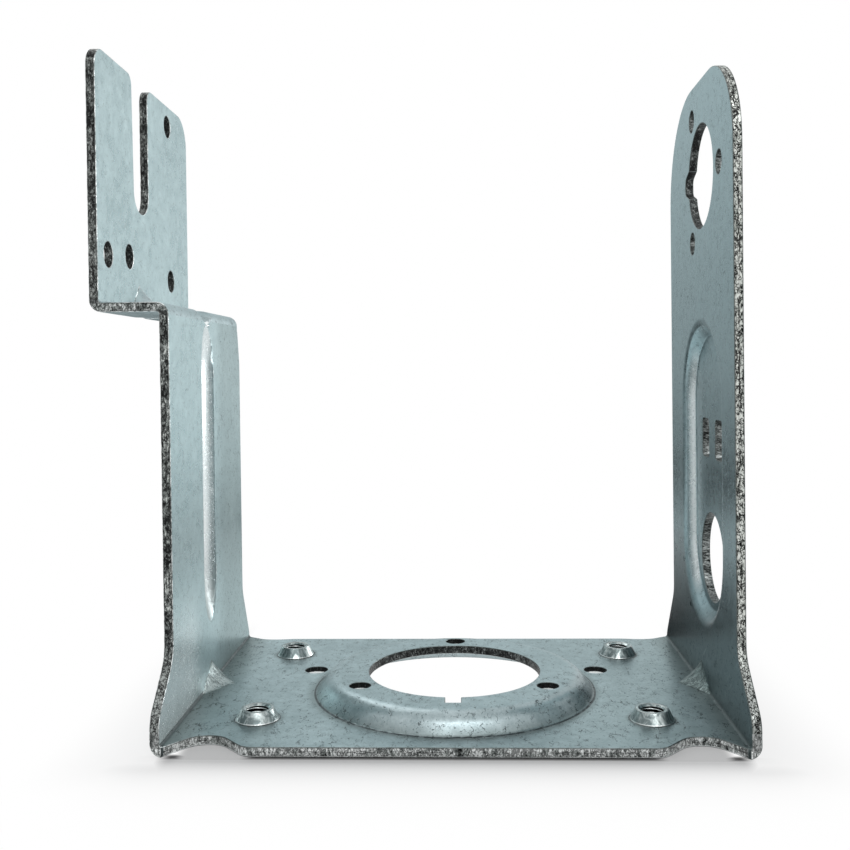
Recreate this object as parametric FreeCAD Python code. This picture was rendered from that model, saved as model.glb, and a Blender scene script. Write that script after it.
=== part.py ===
"""U-shaped bracket, pressed and folded from one piece of zinc-coated steel sheet.

Millimetres. X runs along the base, Y from the front edge to the rear edge and Z upwards.
The origin is midway between the four tapped collars, in the plane of the base's underside.
"""

import FreeCAD, Part
import math
import os

V = FreeCAD.Vector
X, Y, Z = V(1, 0, 0), V(0, 1, 0), V(0, 0, 1)

# The sheet and its folds
SHEET = 2.5
BEND_INSIDE = 0.8
WIDTH = 150.0
FRONT_EARS, REAR_EARS = -51.2, 52.3

# The stepped left side: lower leg, ledge and upper plate
LEDGE_TOP = 113.8
PLATE_OUTER = -93.4
PLATE_TOP = 181.0
SIDE_FRONT = -37.9
LEFT_LEG_REAR, LEDGE_REAR, PLATE_REAR = 42.6, 39.7, 46.9

# The tall right leg
RIGHT_TOP = 177.6
RIGHT_LEG_REAR = 39.6
RIGHT_FRONT_CORNER_R, RIGHT_REAR_CORNER_R = 25.0, 31.0

# The base, its raised ring and its holes
BASE_FRONT, BASE_REAR = -50.4, 48.7
FRONT_WAIST, REAR_WAIST = -42.6, 48.0
RING_TOE_R, RING_TOP_R, RING_HEIGHT = 40.1, 35.8, 5.3
RING_TOE_BEND, RING_TOP_BEND = 1.6, 3.8
BORE_Y, CENTRE_BORE_R = -3.9, 24.8
CENTRE_NOTCH_WIDTH, CENTRE_NOTCH_DEPTH = 4.2, 4.2
BASE_SCREW_CIRCLE_R, BASE_SCREW_R = 30.0, 3.0
COLLAR_X, COLLAR_Y = 52.4, 30.1
COLLAR_HEIGHT, COLLAR_FOOT_R, COLLAR_LIP_R = 3.0, 5.85, 4.3
THREAD_CORE_R, THREAD_MOUTH_R = 3.0, 3.6
PLAIN_HOLE_X, PLAIN_HOLE_Y, PLAIN_HOLE_R = 43.0, 13.1, 3.45

# The upper plate's slot and holes (y, z)
SLOT_FRONT, SLOT_REAR, SLOT_BOTTOM = -7.9, 5.1, 142.2
PLATE_HOLES = ((25.3, 174.4), (-29.8, 127.2), (-12.8, 128.5), (27.0, 124.8))
PLATE_HOLE_R = 3.5

# The right leg's upper hole with its three screw holes
HUB_Y, HUB_Z, HUB_R = -2.5, 150.0, 15.0
HUB_NOTCH_WIDTH, HUB_NOTCH_DEPTH = 4.6, 4.4
HUB_SCREW_CIRCLE_R, HUB_SCREW_R = 21.0, 3.3

# The panel pressed outwards in the right leg
PANEL_Y, PANEL_BOTTOM_Z, PANEL_TOP_Z = -0.7, 43.7, 84.8
PANEL_R, PANEL_FLOOR_R, PANEL_DEPTH = 22.7, 19.4, 3.2
PANEL_HOLE_Y, PANEL_HOLE_Z, PANEL_HOLE_R = 0.0, 39.4, 13.0
PANEL_SLOT_PITCH, PANEL_SLOT_WIDTH, PANEL_SLOT_HEIGHT = 15.1, 8.0, 11.4
PANEL_SLOT_Z = 74.1

# The long groove pressed outwards in the left leg
GROOVE_Y, GROOVE_DEPTH, GROOVE_HALF_WIDTH = 0.5, 2.7, 7.0
GROOVE_BOTTOM_Z, GROOVE_TOP_Z, GROOVE_RUN_OUT = 22.0, 108.6, 15.0


def turned(a, b, c):
    """The angle between the runs a-b and b-c."""
    return (b - a).getAngle(c - b)


def rounded_edges(points, radii):
    """Edges of an open path whose inner corners are rounded with the given radii."""
    edges, start = [], points[0]
    for a, b, c, radius in zip(points, points[1:], points[2:], radii):
        angle = turned(a, b, c)
        if radius <= 0 or angle < 1e-4:
            end, after = b, b
        else:
            back = radius * math.tan(angle / 2)
            end = b + (a - b).normalize() * back
            after = b + (c - b).normalize() * back
        if (end - start).Length > 1e-6:
            edges.append(Part.makeLine(start, end))
        if after is not b:
            inward = ((a - b).normalize() + (c - b).normalize()).normalize()
            middle = b + inward * (radius / math.cos(angle / 2) - radius)
            edges.append(Part.Arc(end, middle, after).toShape())
        start = after
    edges.append(Part.makeLine(start, points[-1]))
    return edges


def rounded_face(corners):
    """A flat face from (point, corner radius) pairs; the outline starts mid-way on its last side."""
    points = [point for point, _ in corners]
    radii = [radius for _, radius in corners]
    seam = (points[-1] + points[0]) * 0.5
    edges = rounded_edges([seam] + points + [seam], radii)
    return Part.Face(Part.Wire(edges))


def side_line(points, thickness, normal):
    """The same path moved by the thickness to the right of its direction, seen along the normal."""
    rights = [(b - a).normalize().cross(normal) for a, b in zip(points, points[1:])]
    moved = [points[0] + rights[0] * thickness]
    for point, before, after in zip(points[1:-1], rights, rights[1:]):
        moved.append(point + (before + after) * (thickness / (1 + before.dot(after))))
    moved.append(points[-1] + rights[-1] * thickness)
    return moved


def sheet_section(points, inside_radii, normal, thickness=SHEET, both_rounded=True):
    """Cross-section of bent sheet: the path is one skin, the other lies to its right."""
    near_radii, far_radii = [], []
    for a, b, c, radius in zip(points, points[1:], points[2:], inside_radii):
        bends_right = (b - a).cross(c - b).dot(normal) < 0
        near_radii.append(radius + thickness if bends_right else radius)
        far_radii.append(radius if bends_right else radius + thickness)
    moved = side_line(points, thickness, normal)
    edges = rounded_edges(points, near_radii)
    edges.append(Part.makeLine(points[-1], moved[-1]))
    edges += rounded_edges(moved[::-1], far_radii[::-1] if both_rounded else [0] * len(far_radii))
    edges.append(Part.makeLine(moved[0], points[0]))
    return Part.Face(Part.Wire(Part.__sortEdges__(edges)))


def round_hole(x, y, z, radius, axis, length):
    """A cylinder centred on the point, for cutting."""
    return Part.makeCylinder(radius, length, V(x, y, z) - axis * (length / 2), axis)


def folded_strip():
    """The whole fold, as wide as the ears at the base's bends."""
    inner = WIDTH / 2 - SHEET
    skin = [
        V(PLATE_OUTER + SHEET, FRONT_EARS, PLATE_TOP),
        V(PLATE_OUTER + SHEET, FRONT_EARS, LEDGE_TOP),
        V(-inner, FRONT_EARS, LEDGE_TOP),
        V(-inner, FRONT_EARS, SHEET),
        V(inner, FRONT_EARS, SHEET),
        V(inner, FRONT_EARS, RIGHT_TOP),
    ]
    section = sheet_section(skin, [BEND_INSIDE] * 4, V(0, -1, 0))
    return section.extrude(Y * (REAR_EARS - FRONT_EARS))


def base_trims():
    """Material sheared away in front of and behind the base: a shallow waist beside each ear."""
    trims = []
    for side in (-1, 1):
        front = [
            (V(side * 20, BASE_FRONT, -1), 0),
            (V(side * 51.9, BASE_FRONT, -1), 5.0),
            (V(side * 59.0, FRONT_WAIST, -1), 6.0),
            (V(side * 65.6, FRONT_WAIST, -1), 6.0),
            (V(side * 72.3, FRONT_EARS, -1), 2.0),
            (V(side * 72.3, FRONT_EARS - 6, -1), 0),
            (V(side * 20, FRONT_EARS - 6, -1), 0),
        ]
        rear = [
            (V(side * 20, BASE_REAR, -1), 0),
            (V(side * 56.0, BASE_REAR, -1), 12.0),
            (V(side * 61.0, REAR_WAIST, -1), 12.0),
            (V(side * 66.0, REAR_WAIST, -1), 9.0),
            (V(side * 73.2, REAR_EARS, -1), 2.0),
            (V(side * 73.2, REAR_EARS + 6, -1), 0),
            (V(side * 20, REAR_EARS + 6, -1), 0),
        ]
        trims += [rounded_face(front), rounded_face(rear)]
    middle_front = Part.makeBox(42, 12, SHEET + 3, V(-21, BASE_FRONT - 12, -1))
    middle_rear = Part.makeBox(42, 12, SHEET + 3, V(-21, BASE_REAR, -1))
    return [face.extrude(Z * (SHEET + 3)) for face in trims] + [middle_front, middle_rear]


def leg_side_trims(x_from, x_to, rear, top):
    """Material sheared away beside a leg, so that it widens in a smooth S to the ears."""
    front = [
        (V(x_from, FRONT_EARS, 3.2), 0),
        (V(x_from, FRONT_EARS, 9.2), 6.5),
        (V(x_from, SIDE_FRONT, 21.2), 8.0),
        (V(x_from, SIDE_FRONT, top), 0),
        (V(x_from, FRONT_EARS - 6, top), 0),
        (V(x_from, FRONT_EARS - 6, 3.2), 0),
    ]
    rear_edge = [
        (V(x_from, REAR_EARS, -2.0), 0),
        (V(x_from, REAR_EARS, 3.6), 8.0),
        (V(x_from, rear, 20.8), 9.0),
        (V(x_from, rear, top), 0),
        (V(x_from, REAR_EARS + 6, top), 0),
        (V(x_from, REAR_EARS + 6, -2.0), 0),
    ]
    return [rounded_face(face).extrude(X * (x_to - x_from)) for face in (front, rear_edge)]


def left_side_trims():
    """Outline of the left leg, the ledge's rear edge and the slotted upper plate."""
    leg_front, leg_rear = leg_side_trims(-100, -60, LEFT_LEG_REAR, LEDGE_TOP + 1)
    leg_rear = leg_rear.common(Part.makeBox(18, 40, LEDGE_TOP - 5, V(-78, 30, 0)))
    shoulder = rounded_face([
        (V(-78, LEFT_LEG_REAR, 98.0), 0),
        (V(-78, LEDGE_REAR, LEDGE_TOP - 3.0), 6.0),
        (V(-78, LEDGE_REAR, LEDGE_TOP + 2), 0),
        (V(-78, LEFT_LEG_REAR + 14, LEDGE_TOP + 2), 0),
        (V(-78, LEFT_LEG_REAR + 14, 98.0), 0),
    ]).extrude(X * 18)
    ledge_rear = rounded_face([
        (V(-60, LEDGE_REAR, LEDGE_TOP - 5), 0),
        (V(-76.5, LEDGE_REAR, LEDGE_TOP - 5), 10.0),
        (V(-90.0, PLATE_REAR, LEDGE_TOP - 5), 10.0),
        (V(-100, PLATE_REAR, LEDGE_TOP - 5), 0),
        (V(-100, PLATE_REAR + 14, LEDGE_TOP - 5), 0),
        (V(-60, PLATE_REAR + 14, LEDGE_TOP - 5), 0),
    ]).extrude(Z * 9)
    plate_rear = Part.makeBox(20, 20, PLATE_TOP, V(-100, PLATE_REAR, LEDGE_TOP))
    plate_front = Part.makeBox(20, 20, PLATE_TOP, V(-100, SIDE_FRONT - 20, LEDGE_TOP))
    return [leg_front, leg_rear, shoulder, ledge_rear, plate_rear, plate_front]


def upper_plate_outline():
    """The plate's two tines with their rounded ends and the open slot between them."""
    x = PLATE_OUTER - 1
    outline = rounded_face([
        (V(x, SIDE_FRONT, LEDGE_TOP - 6), 0),
        (V(x, SIDE_FRONT, PLATE_TOP), 5.5),
        (V(x, SLOT_FRONT - 1.2, PLATE_TOP), 3.0),
        (V(x, SLOT_FRONT, SLOT_BOTTOM), 6.2),
        (V(x, SLOT_REAR, SLOT_BOTTOM), 6.2),
        (V(x, SLOT_REAR, PLATE_TOP), 4.0),
        (V(x, PLATE_REAR, PLATE_TOP), 9.5),
        (V(x, PLATE_REAR, LEDGE_TOP - 6), 0),
    ]).extrude(X * (SHEET + 2))
    envelope = Part.makeBox(SHEET + 2, 140, 90, V(x, -60, LEDGE_TOP + 8))
    return envelope.cut(outline)


def right_leg_trims():
    """Outline of the right leg: S-shaped foot and a flat top with two large round corners."""
    trims = leg_side_trims(60, 100, RIGHT_LEG_REAR, RIGHT_TOP + 2)
    top = rounded_face([
        (V(60, SIDE_FRONT, 60), 0),
        (V(60, SIDE_FRONT, RIGHT_TOP), RIGHT_FRONT_CORNER_R),
        (V(60, RIGHT_LEG_REAR, RIGHT_TOP), RIGHT_REAR_CORNER_R),
        (V(60, RIGHT_LEG_REAR, 60), 0),
    ]).extrude(X * 40)
    envelope = Part.makeBox(40, 140, 70, V(60, -60, RIGHT_TOP - 40))
    return trims + [envelope.cut(top)]


def raised_ring():
    """The dished ring pressed up around the central hole, with plain corners on its hidden skin."""
    rim = RING_TOE_R + 4
    top = SHEET + RING_HEIGHT
    skin = [V(rim, 0, SHEET), V(RING_TOE_R, 0, SHEET), V(RING_TOP_R, 0, top), V(CENTRE_BORE_R, 0, top)]
    section = sheet_section(skin, [RING_TOE_BEND, RING_TOP_BEND], Y, both_rounded=False)
    return section.revolve(V(0, 0, 0), Z, 360).translated(Y * BORE_Y), rim


def with_raised_ring(body):
    ring, rim = raised_ring()
    body = body.cut(round_hole(0, BORE_Y, 0, rim, Z, 30)).fuse(ring)
    notch = Part.makeBox(CENTRE_NOTCH_WIDTH, CENTRE_NOTCH_DEPTH + 2, 20,
                         V(-CENTRE_NOTCH_WIDTH / 2, BORE_Y - CENTRE_BORE_R - CENTRE_NOTCH_DEPTH, -1))
    body = body.cut(notch)
    for angle in (90, 210, 330):
        spot = V(math.cos(math.radians(angle)), math.sin(math.radians(angle)), 0) * BASE_SCREW_CIRCLE_R
        body = body.cut(round_hole(spot.x, BORE_Y + spot.y, 0, BASE_SCREW_R, Z, 40))
    return body


def collar(x, y):
    """One extruded collar: a low cone round a tapped hole whose mouth is countersunk."""
    lip = SHEET + COLLAR_HEIGHT
    outline = [
        V(x + COLLAR_FOOT_R + 0.7, y, 0), V(x + COLLAR_FOOT_R + 0.7, y, SHEET),
        V(x + COLLAR_FOOT_R, y, SHEET), V(x + COLLAR_LIP_R, y, lip),
        V(x + THREAD_MOUTH_R, y, lip), V(x + THREAD_CORE_R, y, lip - 0.6),
        V(x + THREAD_CORE_R, y, 0), V(x + COLLAR_FOOT_R + 0.7, y, 0),
    ]
    return Part.Face(Part.makePolygon(outline)).revolve(V(x, y, 0), Z, 360)


def with_collars(body):
    for x in (-COLLAR_X, COLLAR_X):
        for y in (-COLLAR_Y, COLLAR_Y):
            body = body.cut(round_hole(x, y, 0, COLLAR_FOOT_R + 0.7, Z, 30)).fuse(collar(x, y))
    return body


def with_plain_base_holes(body):
    for x in (-PLAIN_HOLE_X, PLAIN_HOLE_X):
        body = body.cut(round_hole(x, PLAIN_HOLE_Y, 0, PLAIN_HOLE_R, Z, 30))
    return body


def with_plate_holes(body):
    for y, z in PLATE_HOLES:
        body = body.cut(round_hole(PLATE_OUTER, y, z, PLATE_HOLE_R, X, 12))
    return body


def with_hub_holes(body):
    """The right leg's large hole with its notch, and three screw holes on one circle."""
    x = WIDTH / 2
    body = body.cut(round_hole(x, HUB_Y, HUB_Z, HUB_R, X, 12))
    bottom, mouth = HUB_NOTCH_WIDTH / 2, HUB_NOTCH_WIDTH / 2 + 2.2
    notch = rounded_face([
        (V(x - 6, HUB_Y + HUB_R - 1.6, HUB_Z - mouth), 0),
        (V(x - 6, HUB_Y + HUB_R + HUB_NOTCH_DEPTH, HUB_Z - bottom), 1.8),
        (V(x - 6, HUB_Y + HUB_R + HUB_NOTCH_DEPTH, HUB_Z + bottom), 1.8),
        (V(x - 6, HUB_Y + HUB_R - 1.6, HUB_Z + mouth), 0),
    ]).extrude(X * 12)
    body = body.cut(notch)
    for angle in (60, 180, 300):
        y = HUB_Y + HUB_SCREW_CIRCLE_R * math.cos(math.radians(angle))
        z = HUB_Z + HUB_SCREW_CIRCLE_R * math.sin(math.radians(angle))
        body = body.cut(round_hole(x, y, z, HUB_SCREW_R, X, 12))
    return body


def panel_skin(sign, z):
    """Half of the panel's section on its inner skin, from the rim to the panel's middle."""
    inner = WIDTH / 2 - SHEET
    rim = PANEL_R + 3.5
    return [
        V(inner, PANEL_Y + sign * rim, z),
        V(inner, PANEL_Y + sign * PANEL_R, z),
        V(inner + PANEL_DEPTH, PANEL_Y + sign * PANEL_FLOOR_R, z),
        V(inner + PANEL_DEPTH, PANEL_Y, z),
    ], rim


def with_pressed_panel(body):
    """A long round-ended panel pressed outwards, with its floor still one sheet thick."""
    half, rim = panel_skin(-1, PANEL_BOTTOM_Z)
    full = half[:-1] + panel_skin(1, PANEL_BOTTOM_Z)[0][-2::-1]
    rise = PANEL_TOP_Z - PANEL_BOTTOM_Z
    middle = sheet_section(full, [2.0, 1.2, 1.2, 2.0], Z, both_rounded=False).extrude(Z * rise)
    quarter = sheet_section(half, [2.0, 1.2], Z, both_rounded=False)
    lower = quarter.revolve(V(0, PANEL_Y, PANEL_BOTTOM_Z), X, 180)
    upper = quarter.translated(Z * rise).revolve(V(0, PANEL_Y, PANEL_TOP_Z), X, -180)
    opening = rounded_face([
        (V(60, PANEL_Y - rim, PANEL_BOTTOM_Z - rim), rim - 0.001),
        (V(60, PANEL_Y + rim, PANEL_BOTTOM_Z - rim), rim - 0.001),
        (V(60, PANEL_Y + rim, PANEL_TOP_Z + rim), rim - 0.001),
        (V(60, PANEL_Y - rim, PANEL_TOP_Z + rim), rim - 0.001),
    ]).extrude(X * 40)
    body = body.cut(opening).fuse([middle, lower, upper])
    floor = WIDTH / 2 + PANEL_DEPTH
    body = body.cut(round_hole(floor, PANEL_HOLE_Y, PANEL_HOLE_Z, PANEL_HOLE_R, X, 14))
    for side in (-1, 1):
        y = PANEL_Y + side * PANEL_SLOT_PITCH / 2
        half_w, half_h = PANEL_SLOT_WIDTH / 2, PANEL_SLOT_HEIGHT / 2
        body = body.cut(rounded_face([
            (V(floor - 8, y - half_w, PANEL_SLOT_Z - half_h), 1.6),
            (V(floor - 8, y + half_w, PANEL_SLOT_Z - half_h), 1.6),
            (V(floor - 8, y + half_w, PANEL_SLOT_Z + half_h), 1.6),
            (V(floor - 8, y - half_w, PANEL_SLOT_Z + half_h), 1.6),
        ]).extrude(X * 16))
    return body


def groove_solid(x, radius):
    """A round bar whose ends curve up out of the sheet; its lower skin shapes the groove."""
    low = GROOVE_BOTTOM_Z + GROOVE_RUN_OUT
    high = GROOVE_TOP_Z - GROOVE_RUN_OUT
    sweep_r = GROOVE_RUN_OUT ** 2 / (2 * GROOVE_DEPTH)
    angle = 1.25 * GROOVE_RUN_OUT / sweep_r
    reach, lift = sweep_r * math.sin(angle), sweep_r * (1 - math.cos(angle))
    half_reach, half_lift = sweep_r * math.sin(angle / 2), sweep_r * (1 - math.cos(angle / 2))
    start = V(x + lift, GROOVE_Y, low - reach)
    path = Part.Wire([
        Part.Arc(start, V(x + half_lift, GROOVE_Y, low - half_reach), V(x, GROOVE_Y, low)).toShape(),
        Part.makeLine(V(x, GROOVE_Y, low), V(x, GROOVE_Y, high)),
        Part.Arc(V(x, GROOVE_Y, high), V(x + half_lift, GROOVE_Y, high + half_reach),
                 V(x + lift, GROOVE_Y, high + reach)).toShape(),
    ])
    along = V(-math.sin(angle), 0, math.cos(angle))
    ring = Part.Wire(Part.makeCircle(radius, start, along))
    return path.makePipeShell([ring], True, True)


def with_pressed_groove(body):
    inner = -(WIDTH / 2 - SHEET)
    radius = (GROOVE_HALF_WIDTH ** 2 + GROOVE_DEPTH ** 2) / (2 * GROOVE_DEPTH)
    x = inner - GROOVE_DEPTH + radius
    swell = groove_solid(x, radius + SHEET)
    swell = swell.common(Part.makeBox(20, 60, 110, V(inner - SHEET / 2 - 20, GROOVE_Y - 30, 5)))
    hollow = groove_solid(x, radius)
    return body.fuse(swell).cut(hollow)


def dart_wire(corner, along_a, along_b, y, reach, sag, outer):
    """The dart's profile at its middle: the ridge is an arc hollow towards the bend."""
    a = corner + along_a * reach
    b = corner + along_b * reach
    toward = (along_a + along_b).normalize()
    chord_half = reach / math.sqrt(2)
    arc_r = (chord_half ** 2 + sag ** 2) / (2 * sag)
    centre = corner + toward * (chord_half - sag + arc_r)
    if outer:
        corner = corner - (along_a + along_b) * SHEET
        arc_r += SHEET
        across = (centre - corner).dot(along_a)
        reach = across - math.sqrt(arc_r ** 2 - across ** 2)
        a, b = corner + along_a * reach, corner + along_b * reach
        beyond = 2.0
    else:
        beyond = 1.0
    middle = centre - toward * arc_r
    back_a, back_b = a - along_b * beyond, b - along_a * beyond
    heel = corner - (along_a + along_b) * beyond
    points = [V(p.x, y, p.z) for p in (a, middle, b, back_b, heel, back_a)]
    edges = [Part.Arc(*points[:3]).toShape()]
    edges += [Part.makeLine(p, q) for p, q in zip(points[2:], points[3:] + points[:1])]
    return Part.Wire(edges), corner


def dart(corner, along_a, along_b, y, reach, sag, half_length, outer):
    """Two half cones that meet at the dart's middle."""
    wire, heel = dart_wire(corner, along_a, along_b, y, reach, sag, outer)
    tip = heel if outer else heel - (along_a + along_b) * 0.6
    halves = []
    for side in (-1, 1):
        end = Part.Vertex(V(tip.x, y + side * half_length, tip.z))
        halves.append(Part.makeLoft([wire, end], True, True))
    return halves[0].fuse(halves[1])


def with_dart(body, corner, along_a, along_b, y, reach, sag, half_length):
    """Stiffening dart pressed into a bend: a web in the corner and a dent behind it."""
    web = dart(corner, along_a, along_b, y, reach, sag, half_length, False)
    dent = dart(corner, along_a, along_b, y, reach, sag, half_length, True)
    return body.fuse(web).cut(dent)


def with_darts(body):
    inner = WIDTH / 2 - SHEET
    body = with_dart(body, V(-inner, 0, SHEET), X, Z, 0.1, 7.0, 1.25, 14.5)
    body = with_dart(body, V(inner, 0, SHEET), -X, Z, 0.7, 7.0, 1.25, 14.5)
    body = with_dart(body, V(PLATE_OUTER + SHEET, 0, LEDGE_TOP), X, Z, -4.7, 7.0, 0.5, 8.0)
    return with_dart(body, V(-inner - SHEET, 0, LEDGE_TOP - SHEET), -X, -Z, 1.2, 3.4, 0.3, 13.0)


def bracket():
    body = folded_strip()
    for trim in base_trims() + left_side_trims() + right_leg_trims():
        body = body.cut(trim)
    body = body.cut(upper_plate_outline())
    for feature in (with_raised_ring, with_collars, with_plain_base_holes, with_plate_holes,
                    with_hub_holes, with_pressed_panel, with_pressed_groove, with_darts):
        body = feature(body)
    return body.removeSplitter()


def main():
    os.makedirs("parts", exist_ok=True)
    shape = bracket()
    if len(shape.Solids) == 1:
        shape = shape.Solids[0]
    box = shape.BoundBox
    print("solids", len(shape.Solids), "valid", shape.isValid(), "volume", round(shape.Volume))
    print("box", [round(v, 2) for v in (box.XMin, box.XMax, box.YMin, box.YMax, box.ZMin, box.ZMax)])
    shape.exportStep("parts/bracket.step")


main()
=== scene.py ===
"""Looks of a u-shaped bracket of zinc-coated steel sheet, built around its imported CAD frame.

The part's own frame has X along the base, Y away from the camera and Z up, with the origin
midway between the four tapped collars on the base's underside. Sizes of the bracket and of its
finishes are in millimetres, and those of the studio round it in metres.
"""

import logging
import math
from dataclasses import dataclass, field
from enum import Enum
from functools import reduce

import bmesh
import bpy
from mathutils import Matrix, Vector


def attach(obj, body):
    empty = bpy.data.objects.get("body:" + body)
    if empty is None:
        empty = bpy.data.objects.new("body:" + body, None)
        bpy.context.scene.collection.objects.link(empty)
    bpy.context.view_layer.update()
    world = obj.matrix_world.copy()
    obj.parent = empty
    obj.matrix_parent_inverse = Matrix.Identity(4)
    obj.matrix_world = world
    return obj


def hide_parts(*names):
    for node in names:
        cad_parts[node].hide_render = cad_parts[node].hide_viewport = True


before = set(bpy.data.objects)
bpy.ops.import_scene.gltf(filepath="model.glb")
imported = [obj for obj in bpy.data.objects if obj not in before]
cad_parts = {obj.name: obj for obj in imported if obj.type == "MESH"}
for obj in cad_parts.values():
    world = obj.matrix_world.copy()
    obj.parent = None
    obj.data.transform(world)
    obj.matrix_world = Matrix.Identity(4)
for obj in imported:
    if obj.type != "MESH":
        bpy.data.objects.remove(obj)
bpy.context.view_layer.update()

log = logging.getLogger("bracket")
Socket = bpy.types.NodeSocket
Tree = bpy.types.NodeTree
MM = 0.001
NODE = "bracket"
COLLAR_X, COLLAR_Y = 52.4, 30.1
THREAD_CORE_R = 3.0
WHITE = "#ffffff"


class Across(Enum):
    """Stretch of the shear marks, which run along the smallest factor's axis."""

    BASE = (1.0, 1.0, 0.30)
    LEG = (0.30, 1.0, 1.0)
    EVEN = (1.0, 0.9, 0.6)
    FLAT = (0.9, 0.9, 0.5)


class Skins(Enum):
    """The sheet's two skins beside an edge: the measure across them and where they lie."""

    BASE = ("z", 0.0, 2.5)
    LEG = ("off_centre", 72.5, 75.0)
    PLATE = ("x", -93.4, -90.9)
    LEDGE = ("z", 111.3, 113.8)


class Fold(Enum):
    """The side of a base fold that a skin lies on; the value is where the skin's flat ends."""

    BASE = 72.5
    LEG = 2.5


class Zone(Enum):
    """Zones of the sheet by how their surface was made, and the right leg's skin by its painted shade;
    the value is the material index.
    """

    SKIN = 0
    LEG_SKIN = 1
    PLATE_EDGE = 2
    LEFT_EDGE = 3
    BASE_EDGE = 4
    RIGHT_EDGE = 5
    WEB = 6
    HOLE_WALL = 7
    COLLAR = 8
    RIM = 9
    LEDGE_EDGE = 10
    SCREW_WALL = 11
    PIERCED = 12
    RIGHT_SKIN = 13


@dataclass(frozen=True)
class Fade:
    """A level that turns smoothly from first to last between two places along a measure."""

    along: str
    start: float
    end: float
    first: float = 0.0
    last: float = 1.0


# Places on the skins that carry painted shade or painted highlights.
# The base's painted shade fades out between 6 and 12 mm up.
BASE_HEIGHT = Fade("z", 6.0, 12.0, 1.0, 0.0)
# Painted shade over the base's right side.
BASE_RIGHT_SIDE = (Fade("x", 0.0, 70.0, 0.0, 0.22),)
# Painted shade on the left leg's far side, below the ledge.
LEFT_FAR_SIDE = (Fade("y", 2.0, 22.0, 0.0, 0.36), Fade("z", 112.0, 118.0, 1.0, 0.0))
# Painted light at the left leg's foot.
LEFT_FOOT = (Fade("x", -71.0, -72.0), Fade("y", -6.0, -24.0), Fade("z", 40.0, 14.0, 0.0, 0.50))
# Painted shade at the groove's lower end.
GROOVE_END = (Fade("x", -72.62, -72.9), Fade("y", -7.0, -3.0), Fade("y", 6.0, 9.0, 1.0, 0.0),
              Fade("z", 28.0, 38.0, 0.6, 0.0), Fade("z", 12.0, 26.0))
# Painted highlight along the groove's floor.
GROOVE_FLOOR = (Fade("x", -72.62, -72.95), Fade("x", -75.6, -75.3), Fade("y", -3.4, 0.2),
                Fade("y", 2.6, 6.4, 1.0, 0.35), Fade("y", 6.4, 8.0, 1.0, 0.0),
                Fade("z", 24.0, 40.0, 0.25, 1.0))
# Painted highlight on the panel's slope.
PANEL_SLOPE = (Fade("x", 73.0, 74.9), Fade("x", 75.3, 75.62, 1.0, 0.0), Fade("y", 10.0, 17.0),
               Fade("z", 20.0, 38.0), Fade("z", 108.0, 86.0))


def linear(code: str) -> tuple[float, float, float, float]:
    """Turn an sRGB hex colour, "#rrggbb", into linear RGBA with an alpha of 1."""
    parts = [int(code[i:i + 2], 16) / 255 for i in (1, 3, 5)]
    return tuple(c / 12.92 if c <= 0.04045 else ((c + 0.055) / 1.055) ** 2.4 for c in parts) + (1.0,)


def add_node(tree: Tree, kind: str, settings: dict | None = None,
             links: dict | None = None) -> bpy.types.Node:
    """Add one node to a tree.

    Args:
        tree: The node tree.
        kind: The node's type name.
        settings: Values by input name or number, or by attribute name.
        links: Source sockets by input name or number.

    Returns:
        The new node.
    """
    node = tree.nodes.new(kind)
    for key, value in (settings or {}).items():
        if not isinstance(key, int) and key not in node.inputs:
            setattr(node, key, value)
    for key, value in (settings or {}).items():
        if isinstance(key, int) or key in node.inputs:
            node.inputs[key].default_value = value
    for key, source in (links or {}).items():
        tree.links.new(source, node.inputs[key])
    return node


def new_material(name: str) -> tuple[bpy.types.Material, Tree]:
    """Make an empty node material and return it with its cleared node tree."""
    material = bpy.data.materials.new(name)
    material.use_nodes = True
    material.node_tree.nodes.clear()
    return material, material.node_tree


def arithmetic(tree: Tree, operation: str, *values: "Socket | float") -> Socket:
    """Run one step of arithmetic on sockets or plain numbers."""
    numbers = {i: value for i, value in enumerate(values) if isinstance(value, (int, float))}
    sockets = {i: value for i, value in enumerate(values) if i not in numbers}
    return add_node(tree, "ShaderNodeMath", {"operation": operation, **numbers}, sockets).outputs[0]


def product(tree: Tree, *values: "Socket | float") -> Socket:
    """The values multiplied together."""
    return reduce(lambda a, b: arithmetic(tree, "MULTIPLY", a, b), values)


def largest(tree: Tree, *values: Socket) -> Socket:
    """The largest of the values."""
    return reduce(lambda a, b: arithmetic(tree, "MAXIMUM", a, b), values)


def away_from(tree: Tree, value: Socket, level: float) -> Socket:
    """How far a value lies from a level, to either side."""
    return arithmetic(tree, "ABSOLUTE", arithmetic(tree, "SUBTRACT", value, level))


def total(tree: Tree, parts: list[tuple[Socket, float]], start: float = 0.0) -> Socket:
    """A weighted sum of values, on top of a start value."""
    return reduce(lambda so_far, part: arithmetic(tree, "MULTIPLY_ADD", *part, so_far), parts, start)


def millimetres(tree: Tree, stretch: tuple[float, float, float] = (1, 1, 1),
                turn: tuple[float, float, float] = (0, 0, 0)) -> Socket:
    """Object coordinates in millimetres, turned and then stretched.

    Args:
        tree: The node tree.
        stretch: Factor on each axis after the turn; a small one draws a pattern out along it.
        turn: Turn about X, Y and Z in degrees.

    Returns:
        The vector socket.
    """
    coords = add_node(tree, "ShaderNodeTexCoord")
    scaled = add_node(tree, "ShaderNodeVectorMath", {"operation": "SCALE", "Scale": 1000.0},
                      {0: coords.outputs["Object"]})
    turned = add_node(tree, "ShaderNodeMapping",
                      {"Rotation": tuple(math.radians(a) for a in turn)}, {"Vector": scaled.outputs[0]})
    return add_node(tree, "ShaderNodeMapping", {"Scale": stretch},
                    {"Vector": turned.outputs[0]}).outputs[0]


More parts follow.
